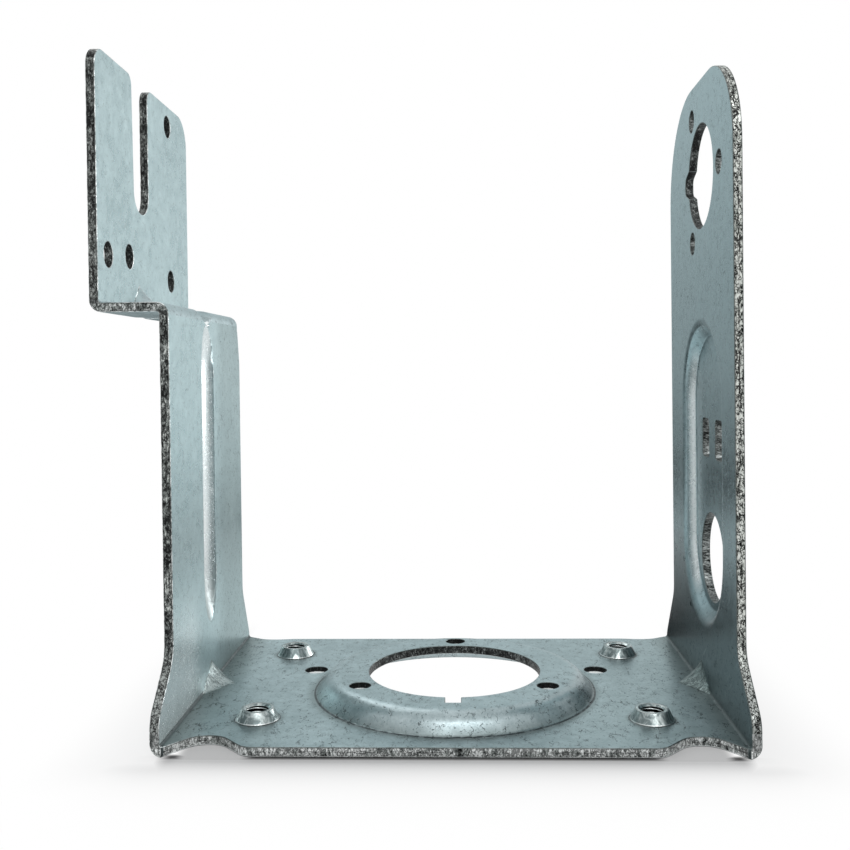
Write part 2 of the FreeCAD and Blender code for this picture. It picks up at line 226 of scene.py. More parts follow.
def measures(tree: Tree) -> dict[str, Socket]:
    """A point's x, y and z and how far it lies off the middle plane, in millimetres."""
    place = add_node(tree, "ShaderNodeSeparateXYZ", {}, {0: millimetres(tree)}).outputs
    return {"x": place[0], "y": place[1], "z": place[2],
            "off_centre": arithmetic(tree, "ABSOLUTE", place[0])}


def reach_from(tree: Tree, vector: Socket, x: float, y: float) -> Socket:
    """How far a vector's first two parts lie from an upright axis."""
    flat = add_node(tree, "ShaderNodeVectorMath", {"operation": "MULTIPLY", 1: (1, 1, 0)}, {0: vector})
    return add_node(tree, "ShaderNodeVectorMath", {"operation": "DISTANCE", 1: (x, y, 0)},
                    {0: flat.outputs[0]}).outputs["Value"]


def noise(tree: Tree, vector: Socket, size_mm: float, detail: float = 2.0, roughness: float = 0.5,
          distortion: float = 0.0, output: str = "Fac") -> Socket:
    """Noise whose lumps are about the given size."""
    return add_node(tree, "ShaderNodeTexNoise",
                    {"Scale": 1.0 / size_mm, "Detail": detail, "Roughness": roughness,
                     "Distortion": distortion}, {"Vector": vector}).outputs[output]


def cell_borders(tree: Tree, vector: Socket, size_mm: float, wander: Socket,
                 sway_mm: float) -> Socket:
    """Distance to the borders of cells of a given size, which a coloured noise sways."""
    bent = add_node(tree, "ShaderNodeVectorMath", {"operation": "MULTIPLY_ADD", 1: (sway_mm,) * 3},
                    {0: wander, 2: vector}).outputs[0]
    return add_node(tree, "ShaderNodeTexVoronoi",
                    {"feature": "DISTANCE_TO_EDGE", "Scale": 1.0 / size_mm},
                    {"Vector": bent}).outputs["Distance"]


def ramp(tree: Tree, source: Socket, low: float, high: float, to_low: float = 0.0,
         to_high: float = 1.0, smooth: bool = True) -> Socket:
    """Map a value from one range to another, held at both ends."""
    kind = "SMOOTHSTEP" if smooth else "LINEAR"
    return add_node(tree, "ShaderNodeMapRange",
                    {"interpolation_type": kind, "From Min": low, "From Max": high,
                     "To Min": to_low, "To Max": to_high}, {"Value": source}).outputs["Result"]


def region(tree: Tree, place: dict[str, Socket], *fades: Fade) -> Socket:
    """Mark a region of the surface: the product of the fades that bound it."""
    return product(tree, *(ramp(tree, place[fade.along], fade.start, fade.end, fade.first, fade.last)
                           for fade in fades))


def blend(tree: Tree, factor: Socket, a: "Socket | str", b: "Socket | str") -> Socket:
    """Mix two colours, given as sockets or as hex codes, by the second one's share."""
    settings, links = {"data_type": "RGBA"}, {0: factor}
    for index, value in ((6, a), (7, b)):
        if isinstance(value, str):
            settings[index] = linear(value)
        else:
            links[index] = value
    return add_node(tree, "ShaderNodeMix", settings, links).outputs[2]


def relief(tree: Tree, height: Socket, depth_mm: float, strength: float) -> Socket:
    """A normal that follows a height pattern of the given depth."""
    return add_node(tree, "ShaderNodeBump", {"Strength": strength, "Distance": depth_mm * MM},
                    {"Height": height}).outputs[0]


def metal(tree: Tree, colour: Socket, rough: Socket, **more: Socket) -> None:
    """Close a tree with bare metal, which takes further inputs by name."""
    shader = add_node(tree, "ShaderNodeBsdfPrincipled", {"Metallic": 1.0},
                      {"Base Color": colour, "Roughness": rough, **more})
    surface(tree, shader)


def surface(tree: Tree, shader: bpy.types.Node) -> None:
    """Close a tree with a shader."""
    add_node(tree, "ShaderNodeOutputMaterial", {}, {"Surface": shader.outputs[0]})


@dataclass(frozen=True)
class GalvanisedSheet:
    """Cold-rolled steel with a continuous hot-dip zinc coat, skin-passed and passivated.

    The eye sees a blue-grey satin with faint clouds, hairline crazing and small dark specks.
    Painted shade lies beside the folds and in creases, and painted highlights lie in bands.
    """

    name: str
    light: str
    dark: str
    roughness: float
    craze_depth: float
    # Painted shade beside the fold: its depth and how far it reaches.
    bend_shade: float
    bend_reach: float
    fold: Fold = Fold.LEG
    scratch_turns: tuple = ((38, 0, 0), (-52, 0, 0))
    stretch: tuple = (1.0, 1.0, 1.0)
    # Colour of the painted shade.
    painted_shade: str = "#59625f"
    speck: str = "#3f4648"
    hairline: str = "#262d2e"
    scratch: str = "#dbe6e8"
    # Colour of the painted shade in creases.
    crease: str = "#2c3335"
    # Colour of the painted highlights.
    bright: str = "#f4f9f9"
    cloud_mm: float = 26.0
    mottle_mm: float = 3.4
    grain_mm: float = 0.55
    speck_mm: float = 2.2
    craze_mm: float = 4.6
    bump_mm: float = 0.05
    # Rings and regions of painted shade, and regions of painted highlights and painted light.
    rings: tuple = ()
    shaded_regions: tuple = ()
    painted_highlights: tuple = ()
    painted_light_patches: tuple = ()

    def crazing(self, tree: Tree) -> Socket:
        """Broken hairlines along the grain borders of the zinc.

        Args:
            tree: The node tree.

        Returns:
            A value that is 1 on a hairline.
        """
        plain = millimetres(tree, self.stretch)
        wander = noise(tree, plain, 1 / 0.7, 3.0, output="Color")
        lines = []
        for factor, width, low, depth in ((1.0, 0.016, 0.50, 1.0), (0.55, 0.028, 0.52, 0.9),
                                          (0.28, 0.042, 0.55, 0.8)):
            size = self.craze_mm * factor
            border = cell_borders(tree, plain, size, wander, 3.4)
            gate = ramp(tree, noise(tree, plain, size * 0.7, 2.0, 0.6), low, low + 0.12)
            lines.append(product(tree, ramp(tree, border, width * 0.2, width * 1.8, depth, 0.0), gate))
        return largest(tree, *lines)

    def scratches(self, tree: Tree) -> Socket:
        """A few fine straight handling scratches.

        Args:
            tree: The node tree.

        Returns:
            A value that is 1 on a scratch.
        """
        narrow, drawn_out = 3.2, 0.05
        marks = []
        for turn in self.scratch_turns:
            on_leg = bool(turn[0])
            stretch = (narrow, drawn_out, narrow) if on_leg else (drawn_out, narrow, narrow)
            lines = noise(tree, millimetres(tree, stretch, turn), 1.0, 1.0, 0.4)
            marks.append(ramp(tree, lines, 0.70, 0.75))
        patches = ramp(tree, noise(tree, millimetres(tree), 9.0, 2.0), 0.50, 0.66)
        return product(tree, largest(tree, *marks), patches)

    def specks(self, tree: Tree) -> Socket:
        """Small dark specks in about a quarter of the cells.

        Args:
            tree: The node tree.

        Returns:
            A value that is 1 on a speck.
        """
        cells = add_node(tree, "ShaderNodeTexVoronoi", {"Scale": 1.0 / self.speck_mm},
                         {"Vector": millimetres(tree)})
        pick = add_node(tree, "ShaderNodeSeparateColor", {}, {0: cells.outputs["Color"]}).outputs[0]
        near = ramp(tree, cells.outputs["Distance"], 0.05, 0.13, 1.0, 0.0)
        return product(tree, near, ramp(tree, pick, 0.72, 0.76))

    def fold_and_crease_shade(self, tree: Tree) -> tuple[Socket, Socket]:
        """Painted shade beside the bends, round the drawn forms and in set regions, and painted dark
        creases.

        Args:
            tree: The node tree.

        Returns:
            Two values: how deep the painted shade is, and how deep the painted crease.
        """
        plain, place = millimetres(tree), measures(tree)
        waver = noise(tree, plain, 2.5, 2.0)
        if self.fold is Fold.LEG:
            inward = arithmetic(tree, "SUBTRACT", place["z"], self.fold.value)
        else:
            inward = arithmetic(tree, "SUBTRACT", self.fold.value, place["off_centre"])
        # Painted shade that fades out from the fold and fills the shaded regions.
        wide = largest(tree, ramp(tree, inward, 0.0, self.bend_reach, self.bend_shade, 0.0),
                       *(region(tree, place, *fades) for fades in self.shaded_regions))
        # Painted dark crease along the fold.
        crease = product(tree, ramp(tree, away_from(tree, inward, 0.3), 0.15, 0.50, 0.75, 0.0),
                         ramp(tree, waver, 0.1, 0.4))
        if self.fold is Fold.BASE:
            low_part = region(tree, place, BASE_HEIGHT)
            wide, crease = product(tree, wide, low_part), product(tree, crease, low_part)
        # Painted dark creases round the drawn forms' feet, each inside a wider painted shade.
        for x, y, radius, width, strength, spread in self.rings:
            off = away_from(tree, reach_from(tree, plain, x, y), radius)
            line = product(tree, ramp(tree, off, width * 0.3, width, strength, 0.0),
                           ramp(tree, waver, 0.30, 0.52, 0.60, 1.0))
            crease = largest(tree, crease, line)
            wide = largest(tree, wide, ramp(tree, off, 0.2, spread, 0.5, 0.0))
        return product(tree, wide, ramp(tree, waver, 0.1, 0.6, 0.75, 1.0)), crease

    def highlight_bands(self, tree: Tree) -> Socket:
        """Painted highlights along the groove and the panel's slope, and painted light at the left foot.

        Args:
            tree: The node tree.

        Returns:
            A value that is 1 where a painted highlight lies.
        """
        place = measures(tree)
        speckle = ramp(tree, noise(tree, millimetres(tree), 0.8, 2.0), 0.30, 0.45, 0.75, 1.0)
        return largest(tree, *(product(tree, region(tree, place, *fades), speckle)
                               for fades in self.painted_highlights),
                       *(region(tree, place, *fades) for fades in self.painted_light_patches))

    def build(self) -> bpy.types.Material:
        """Make the material.

        Returns:
            The finished material.
        """
        material, tree = new_material(self.name)
        plain = millimetres(tree)
        cloud = noise(tree, plain, self.cloud_mm, 4.0, 0.6, 0.4)
        mottle = noise(tree, plain, self.mottle_mm, 3.0, 0.6)
        grain = noise(tree, plain, self.grain_mm, 2.0, 0.6)
        speck, craze = self.specks(tree), self.crazing(tree)
        painted_shade, crease = self.fold_and_crease_shade(tree)
        tone = total(tree, [(cloud, 0.9), (mottle, 1.3), (grain, 0.8)], -1.0)
        colour = blend(tree, tone, self.dark, self.light)
        # Blend in painted shade, specks, hairlines, scratches and painted creases.
        for share, shade in (
                (painted_shade, self.painted_shade), (product(tree, speck, 0.5), self.speck),
                (product(tree, craze, total(tree, [(painted_shade, 0.6)], self.craze_depth)), self.hairline),
                (product(tree, self.scratches(tree), 0.22), self.scratch), (crease, self.crease)):
            colour = blend(tree, share, colour, shade)
        height = total(tree, [(grain, 0.5), (mottle, 0.9), (craze, -0.9), (speck, -0.8)])
        more = {"Normal": relief(tree, height, self.bump_mm, 0.6)}
        rough = [(cloud, 0.14), (mottle, 0.12), (craze, 0.10), (painted_shade, 0.08)]
        # Painted highlights: near-white, smoother and less metallic.
        if self.painted_highlights:
            highlight_share = self.highlight_bands(tree)
            colour = blend(tree, highlight_share, colour, self.bright)
            rough.append((highlight_share, -0.08))
            more["Metallic"] = total(tree, [(highlight_share, -0.75)], 1.0)
        metal(tree, colour, total(tree, rough, self.roughness - 0.13), **more)
        return material


@dataclass(frozen=True)
class ShearedEdge:
    """Blanked edge of steel sheet: a bright shear band over a torn dark fracture, with bright bands that
    are partly painted light.

    The eye sees black-grey mottling with light flecks drawn through the sheet's thickness,
    darker at both skins.
    """

    name: str
    across: Across
    light: str
    middle: str
    share_dark: float
    skins: Skins = Skins.BASE
    dark: str = "#1f2020"
    # Colour of the bright bands: the shear band and painted light.
    smear_and_painted_light: str = "#e9eeee"
    fleck_mm: float = 0.55
    crack_depth: float = 0.85
    border: float = 0.7
    foot: tuple | None = None
    shear_and_light_bands: tuple = ()
    tear_line: float = 0.0

    def depth(self, tree: Tree) -> Socket:
        """How far a point lies inside the thickness from the nearer skin."""
        along, low, high = self.skins.value
        level = measures(tree)[along]
        return arithmetic(tree, "MINIMUM", arithmetic(tree, "SUBTRACT", level, low),
                          arithmetic(tree, "SUBTRACT", high, level))

    def cracks(self, tree: Tree, drawn: Socket) -> Socket:
        """Broken dark cracks of three sizes.

        Args:
            tree: The node tree.
            drawn: Coordinates drawn out through the thickness.

        Returns:
            A value that is 1 in a crack.
        """
        wander = noise(tree, drawn, self.fleck_mm / 1.2, 2.0, output="Color")
        lines = []
        for factor, width in ((2.6, 0.06), (1.5, 0.08), (0.9, 0.09)):
            size = self.fleck_mm * factor
            border = cell_borders(tree, drawn, size, wander, size)
            lines.append(product(tree, ramp(tree, border, width * 0.3, width * 1.3, 1.0, 0.0),
                                 ramp(tree, noise(tree, drawn, size * 1.1, 1.0), 0.40, 0.52)))
        return largest(tree, *lines)

    def tear(self, tree: Tree, drawn: Socket, coarse: Socket) -> Socket:
        """The wavering dark line where the shear band ends and the fracture starts."""
        off = arithmetic(tree, "ABSOLUTE", total(tree, [(self.depth(tree), 1.0), (coarse, 1.4)], -1.9))
        return product(tree, ramp(tree, off, 0.05, 0.16, self.tear_line, 0.0),
                       ramp(tree, noise(tree, drawn, self.fleck_mm * 7.0, 2.0), 0.44, 0.54))

    def build(self) -> bpy.types.Material:
        """Make the material.

        Returns:
            The finished material.
        """
        material, tree = new_material(self.name)
        drawn, rise = millimetres(tree, self.across.value), measures(tree)["z"]
        flecks = noise(tree, drawn, self.fleck_mm, 4.0, 0.7, 0.6)
        coarse = noise(tree, drawn, self.fleck_mm * 5.0, 2.0, 0.6)
        crack = self.cracks(tree, drawn)
        tone = total(tree, [(flecks, 0.85), (coarse, 0.40)], -0.12)
        middle = 0.5 + (self.share_dark - 0.5) * 0.35
        colour = blend(tree, ramp(tree, tone, middle - 0.10, middle + 0.01), self.dark, self.middle)
        colour = blend(tree, ramp(tree, tone, middle + 0.02, middle + 0.12), colour, self.light)
        if self.foot:
            start, end, shade = self.foot
            colour = blend(tree, ramp(tree, rise, start, end, 0.8, 0.0), colour, shade)
        colour = blend(tree, product(tree, crack, self.crack_depth), colour, self.dark)
        if self.tear_line:
            colour = blend(tree, self.tear(tree, drawn, coarse), colour, self.dark)
        inside = total(tree, [(self.depth(tree), 1.0), (flecks, -0.35)])
        colour = blend(tree, ramp(tree, inside, -0.05, 0.30, self.border, 0.0), colour, self.dark)
        # Bright bands at set heights: partly the shear band, partly painted light on the walls' lower
        # parts.
        for low, high in self.shear_and_light_bands:
            half = (high - low) / 2
            off = total(tree, [(away_from(tree, rise, (low + high) / 2), 1.0), (flecks, -0.3)], 0.15)
            band = ramp(tree, off, half - 0.1, half + 0.1, 1.0, 0.0)
            colour = blend(tree, band, colour, self.smear_and_painted_light)
        height = total(tree, [(tone, 1.0), (crack, -0.4)])
        metal(tree, colour, total(tree, [(tone, -0.3)], 0.60), Normal=relief(tree, height, 0.10, 0.8))
        return material


@dataclass(frozen=True)
class DrawnZinc:
    """Zinc coat stretched by a press tool, with ripples along the draw and painted highlights.

    The eye sees bright wavering ridges with darker lines between them.
    """

    name: str
    light: str
    dark: str
    roughness: float
    stretch: tuple
    ripple_mm: float = 1.0
    relief_mm: float = 0.12
    wander: float = 1.2
    # Painted shade: the light tone turns to this darker one towards +X.
    shaded_side_light: str | None = None
    far_from: tuple = (-71.0, -66.0)
    # Colour of the painted highlight rings, and their heights.
    bright: str = "#f6fafa"
    bright_levels: tuple = ()
    blur_mm: float = 0.12

    def build(self) -> bpy.types.Material:
        """Make the material.

        Returns:
            The finished material.
        """
        material, tree = new_material(self.name)
        place = measures(tree)
        drawn = millimetres(tree, self.stretch)
        ripple = noise(tree, drawn, self.ripple_mm, 2.0, 0.55, self.wander)
        broad = noise(tree, drawn, self.ripple_mm * 4, 2.0, 0.5)
        tone = ramp(tree, total(tree, [(ripple, 0.7), (broad, 0.4)], -0.05), 0.36, 0.66)
        light = self.light
        # Painted shade on the right-hand side.
        if self.shaded_side_light:
            light = blend(tree, ramp(tree, place["x"], *self.far_from), light, self.shaded_side_light)
        colour = blend(tree, tone, self.dark, light)
        # Painted highlights: bright rings at set heights.
        for low, high, share in self.bright_levels:
            inside = region(tree, place, Fade("z", low, low + self.blur_mm, 0.0, share),
                            Fade("z", high - self.blur_mm, high, 1.0, 0.0))
            colour = blend(tree, inside, colour, self.bright)
        metal(tree, colour, total(tree, [(tone, -0.14)], self.roughness + 0.1),
              Normal=relief(tree, ripple, self.relief_mm, 0.8))
        return material


@dataclass(frozen=True)
class CutThread:
    """Freshly cut steel thread: bright crests over roots darkened with painted shade."""

    name: str
    crest: str = "#cfd6d6"
    # Colour of the painted shade in the thread roots.
    root: str = "#0b0c0d"

    def build(self) -> bpy.types.Material:
        """Make the material.

        Returns:
            The finished material.
        """
        material, tree = new_material(self.name)
        plain = millimetres(tree)
        folded = add_node(tree, "ShaderNodeVectorMath", {"operation": "ABSOLUTE"}, {0: plain})
        reach = reach_from(tree, folded.outputs[0], COLLAR_X, COLLAR_Y)
        uneven = noise(tree, plain, 1.2, 2.0)
        depth = total(tree, [(reach, 1.0), (uneven, 0.16)], -0.08 - THREAD_CORE_R)
        crest = ramp(tree, depth, 0.03, 0.17, 1.0, 0.0)
        metal(tree, blend(tree, crest, self.root, self.crest), total(tree, [(crest, -0.12)], 0.40))
        return material


@dataclass(frozen=True)
class ZoneMap:
    """Sorts the sheet's faces by where they lie and which way they look."""

    skin_share: float = 0.35
    flat_share: float = 0.985
    edge_share: float = 0.8
    ledge_edge_share: float = 0.5
    sheet_top: float = 2.55
    pressed_top: float = 9.0
    fold_x: float = 71.4
    fold_z: float = 3.4
    dart_x: tuple = (64.5, 72.4)
    dart_y: float = 0.4
    dart_half: float = 15.0
    dart_top: float = 10.0
    collar_r: float = 5.9
    ring_y: float = -3.9
    ring_r: float = 44.0
    bore_r: float = 26.6
    plain_holes: tuple = (48.0, 20.0)
    ledge_x: float = -73.4
    ledge_z: tuple = (110.2, 114.8)
    plate_x: float = -89.6
    plate_holes: tuple = ((25.3, 174.4), (-29.8, 127.2), (-12.8, 128.5), (27.0, 124.8))
    plate_hole_r: float = 4.0
    hub: tuple = (-2.5, 150.0)
    hub_r: float = 17.0
    notch_y: float = 11.0
    notch_half: float = 5.0
    leg_y: float = 0.85
    leg_half: float = 36.0
    corner: tuple = (13.75, 153.0)
    corner_r: float = 22.0
    crown_z: float = 176.0

    def zone_of(self, at: Vector, normal: Vector) -> Zone:
        """Sort one face.

        Args:
            at: The face's middle in millimetres.
            normal: Its unit normal.

        Returns:
            The zone that the face belongs to.
        """
        x, y, z = at
        side, depth, rise = abs(normal.x), abs(normal.y), abs(normal.z)
        if self.on_dart(x, y, z) and max(side, rise) < self.flat_share:
            return Zone.WEB
        if math.hypot(abs(x) - COLLAR_X, abs(y) - COLLAR_Y) < self.collar_r and z > self.sheet_top:
            return Zone.COLLAR
        if x > self.fold_x and z > self.fold_z:
            return Zone.RIGHT_SKIN if side > self.skin_share else self.right_edge(y, z)
        low, high = self.ledge_z
        if x < self.plate_x and z > high:
            return Zone.LEG_SKIN if side > self.skin_share else self.plate_edge(y, z)
        if x < -self.fold_x and self.fold_z < z < low:
            return Zone.LEG_SKIN if side > self.skin_share else Zone.LEFT_EDGE
        if x < self.ledge_x and low <= z <= high:
            on_edge = depth > self.ledge_edge_share and rise < self.ledge_edge_share
            return Zone.LEDGE_EDGE if on_edge else Zone.SKIN
        if abs(x) <= self.fold_x and z < self.pressed_top:
            return Zone.SKIN if rise > self.skin_share else self.base_edge(x, y)
        return Zone.BASE_EDGE if depth > self.edge_share else Zone.SKIN

    def on_dart(self, x: float, y: float, z: float) -> bool:
        """Whether a point lies on the dart across a base fold."""
        start, end = self.dart_x
        return (abs(y - self.dart_y) < self.dart_half and self.sheet_top < z < self.dart_top
                and start < abs(x) < end)

    def on_outline(self, y: float, z: float) -> bool:
        """Whether a point of the right leg lies near the blank's outer outline."""
        off, (corner_y, corner_z) = abs(y - self.leg_y), self.corner
        if z > corner_z:
            return math.hypot(off - corner_y, z - corner_z) > self.corner_r or z > self.crown_z
        return off > self.leg_half

    def right_edge(self, y: float, z: float) -> Zone:
        """The zone of an edge of the right leg: the outer edge or a hole's wall."""
        if self.on_outline(y, z):
            return Zone.RIGHT_EDGE
        hub_y, hub_z = self.hub
        in_notch = y > self.notch_y and abs(z - hub_z) < self.notch_half
        in_hub = math.hypot(y - hub_y, z - hub_z) < self.hub_r
        return Zone.HOLE_WALL if in_hub or in_notch else Zone.SCREW_WALL

    def plate_edge(self, y: float, z: float) -> Zone:
        """The zone of an edge of the upper plate: a hole's wall or the outer edge."""
        pierced = any(math.hypot(y - hole_y, z - hole_z) < self.plate_hole_r
                      for hole_y, hole_z in self.plate_holes)
        return Zone.HOLE_WALL if pierced else Zone.PLATE_EDGE

    def base_edge(self, x: float, y: float) -> Zone:
        """The zone of an edge of the base: the outer edge or a hole's wall."""
        reach = math.hypot(x, y - self.ring_y)
        if reach < self.ring_r:
            return Zone.PIERCED if reach > self.bore_r else Zone.HOLE_WALL
        inner = abs(x) < self.plain_holes[0] and abs(y) < self.plain_holes[1]
        return Zone.PIERCED if inner else Zone.BASE_EDGE


@dataclass
class FoldedSheet:
    """The bracket itself: the CAD solid's faces, welded, with worn rims and sorted by zone."""

    rim_mm: float = 0.16
    weld_mm: float = 0.004
    sharp_degrees: float = 40.0
    shaded_as_one_degrees: float = 50.0
    flat_area_mm2: float = 0.02
    zones: ZoneMap = ZoneMap()
    finishes: dict = field(default_factory=dict)

    def welded(self) -> bmesh.types.BMesh:
        """The CAD node's faces with their split corners joined and its flats made whole.

        Returns:
            The working mesh, in metres.
        """
        mesh = bmesh.new()
        mesh.from_mesh(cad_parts[NODE].data)
        bmesh.ops.remove_doubles(mesh, verts=mesh.verts, dist=self.weld_mm * MM)
        mesh.normal_update()
        whole = []
        for edge in mesh.edges:
            if len(edge.link_faces) == 2:
                one, two = (face.normal for face in edge.link_faces)
                if any(abs(a) > 0.9999995 and abs(b) > 0.9999995 and a * b > 0
                       for a, b in zip(one, two)):
                    whole.append(edge)
        bmesh.ops.dissolve_limit(mesh, angle_limit=math.radians(0.1), verts=[], edges=whole,
                                 use_dissolve_boundaries=False)
        self.cut_at_ledge(mesh)
        return mesh

    def cut_at_ledge(self, mesh: bmesh.types.BMesh) -> None:
        """Cut the left side's edge faces where the ledge starts and ends."""
        for height in self.zones.ledge_z:
            sides = [face for face in mesh.faces if abs(face.normal.y) > 0.99
                     and all(vert.co.x < -0.070 for vert in face.verts)]
            around = {edge for face in sides for edge in face.edges}
            corners = {vert for face in sides for vert in face.verts}
            bmesh.ops.bisect_plane(mesh, geom=list(corners) + list(around) + sides, dist=1e-7,
                                   plane_co=(0, 0, height * MM), plane_no=(0, 0, 1))

    @staticmethod
    def open_threads(mesh: bmesh.types.BMesh) -> None:
        """Take out the plain walls of the tapped holes, which the threads replace."""
        walls = []
        for face in mesh.faces:
            at = face.calc_center_median() / MM
            reach = math.hypot(abs(at.x) - COLLAR_X, abs(at.y) - COLLAR_Y)
            if reach < THREAD_CORE_R + 0.1 and abs(face.normal.z) < 0.2:
                walls.append(face)
        bmesh.ops.delete(mesh, geom=walls, context="FACES")

    def even_normals(self, data: bpy.types.Mesh) -> None:
        """Shade flats as flat and let every fillet beside a flat run into it smoothly.

        Args:
            data: The mesh.
        """
        cosine = math.cos(math.radians(self.shaded_as_one_degrees))
        smallest = self.flat_area_mm2 * MM * MM
        normals = [face.normal.copy() for face in data.polygons]
        areas = [face.area for face in data.polygons]
        flat = [max(abs(c) for c in n) > 0.999999 and a > smallest for n, a in zip(normals, areas)]
        around = [[] for _ in data.vertices]
        for face in data.polygons:
            for index in face.vertices:
                around[index].append(face.index)
        made = []
        for face in data.polygons:
            own = normals[face.index]
            for index in face.vertices:
                near = [i for i in around[index] if normals[i].dot(own) > cosine]
                flats = [i for i in near if flat[i]]
                mixed = Vector((0, 0, 0))
                for i in flats or near:
                    mixed += normals[i] * areas[i]
                made.append(own if flat[face.index] else mixed.normalized())
        for face in data.polygons:
            face.use_smooth = not flat[face.index]
        data.normals_split_custom_set(made)

    def rimmed(self, sheet: bpy.types.Object) -> bpy.types.Mesh:
        """Wear the rims of the sheared edges round.

        Args:
            sheet: The object, with sharp rims.

        Returns:
            The new mesh.
        """
        rims = sheet.modifiers.new("rims", "BEVEL")
        rims.width = self.rim_mm * MM
        rims.segments = 2
        rims.limit_method = "ANGLE"
        rims.angle_limit = math.radians(self.sharp_degrees)
        rims.use_clamp_overlap = False
        rims.loop_slide = False
        rims.material = Zone.RIM.value
        shaped = bpy.data.meshes.new_from_object(
            sheet.evaluated_get(bpy.context.evaluated_depsgraph_get()))
        sheet.modifiers.clear()
        shaped.name = "folded_sheet_rimmed"
        return shaped

    def build(self) -> bpy.types.Object:
        """Make the sheet's mesh object.

        Returns:
            The object, with its rims, normals and material slots.
        """
        mesh = self.welded()
        self.open_threads(mesh)
        for face in mesh.faces:
            face.smooth = True
            face.material_index = self.zones.zone_of(face.calc_center_median() / MM, face.normal).value
        data = bpy.data.meshes.new("folded_sheet")
        mesh.to_mesh(data)
        mesh.free()
        data.set_sharp_from_angle(angle=math.radians(self.sharp_degrees))
        sheet = bpy.data.objects.new("folded_sheet", data)
        bpy.context.scene.collection.objects.link(sheet)
        for zone in Zone:
            data.materials.append(self.finishes[zone])
        sheet.data = self.rimmed(sheet)
        self.even_normals(sheet.data)
        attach(sheet, "root")
        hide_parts(NODE)
        return sheet


@dataclass
class TappedThreads:
    """Cut threads in the four collars, with the run-out at both mouths."""

    root_r: float = 3.5
    pitch: float = 1.0
    low: float = 0.0
    high: float = 4.9
    run_in: float = 0.5
    run_out: float = 0.4
    flank: float = 1.35
    crest_flat: float = 0.12
    points_in_turn: int = 56
    rows: int = 60
    finish: bpy.types.Material | None = None

    def radius(self, turn: float, z: float) -> float:
        """The wall's radius at a turn from 0 to 1 and a height in millimetres."""
        phase = (z / self.pitch - turn) % 1.0
        groove = min(1.0, max(0.0, (1 - abs(phase - 0.5) * 2) * self.flank - self.crest_flat))
        ends = min(1.0, (z - self.low) / self.run_in, (self.high - z) / self.run_out)
        return THREAD_CORE_R + (self.root_r - THREAD_CORE_R) * groove * max(0.0, ends)

    def add_thread(self, mesh: bmesh.types.BMesh, x: float, y: float) -> None:
        """Add one thread to a mesh, in the hole at x and y."""
        grid = []
        for row in range(self.rows + 1):
            z = self.low + (self.high - self.low) * row / self.rows
            ring = []
            for step in range(self.points_in_turn):
                turn = step / self.points_in_turn
                r, a = self.radius(turn, z), math.tau * turn
                ring.append(mesh.verts.new(Vector((x + r * math.cos(a), y + r * math.sin(a), z)) * MM))
            grid.append(ring)
        for lower, upper in zip(grid, grid[1:]):
            for i in range(self.points_in_turn):
                j = (i + 1) % self.points_in_turn
                mesh.faces.new((lower[j], lower[i], upper[i], upper[j])).smooth = True

    def build(self) -> bpy.types.Object:
        """Make the four threads as one mesh.

        Returns:
            The object.
        """
        mesh = bmesh.new()
        for x in (-COLLAR_X, COLLAR_X):
            for y in (-COLLAR_Y, COLLAR_Y):
                self.add_thread(mesh, x, y)
        data = bpy.data.meshes.new("tapped_threads")
        mesh.to_mesh(data)
        mesh.free()
        data.materials.append(self.finish)
        threads = bpy.data.objects.new("tapped_threads", data)
        bpy.context.scene.collection.objects.link(threads)
        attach(threads, "root")
        return threads


def seen_directly(tree: Tree) -> Socket:
    """1 for camera, glossy and transmission rays, so that reflections show the same white."""
    path = add_node(tree, "ShaderNodeLightPath").outputs
    return largest(tree, path["Is Camera Ray"], path["Is Glossy Ray"], path["Is Transmission Ray"])


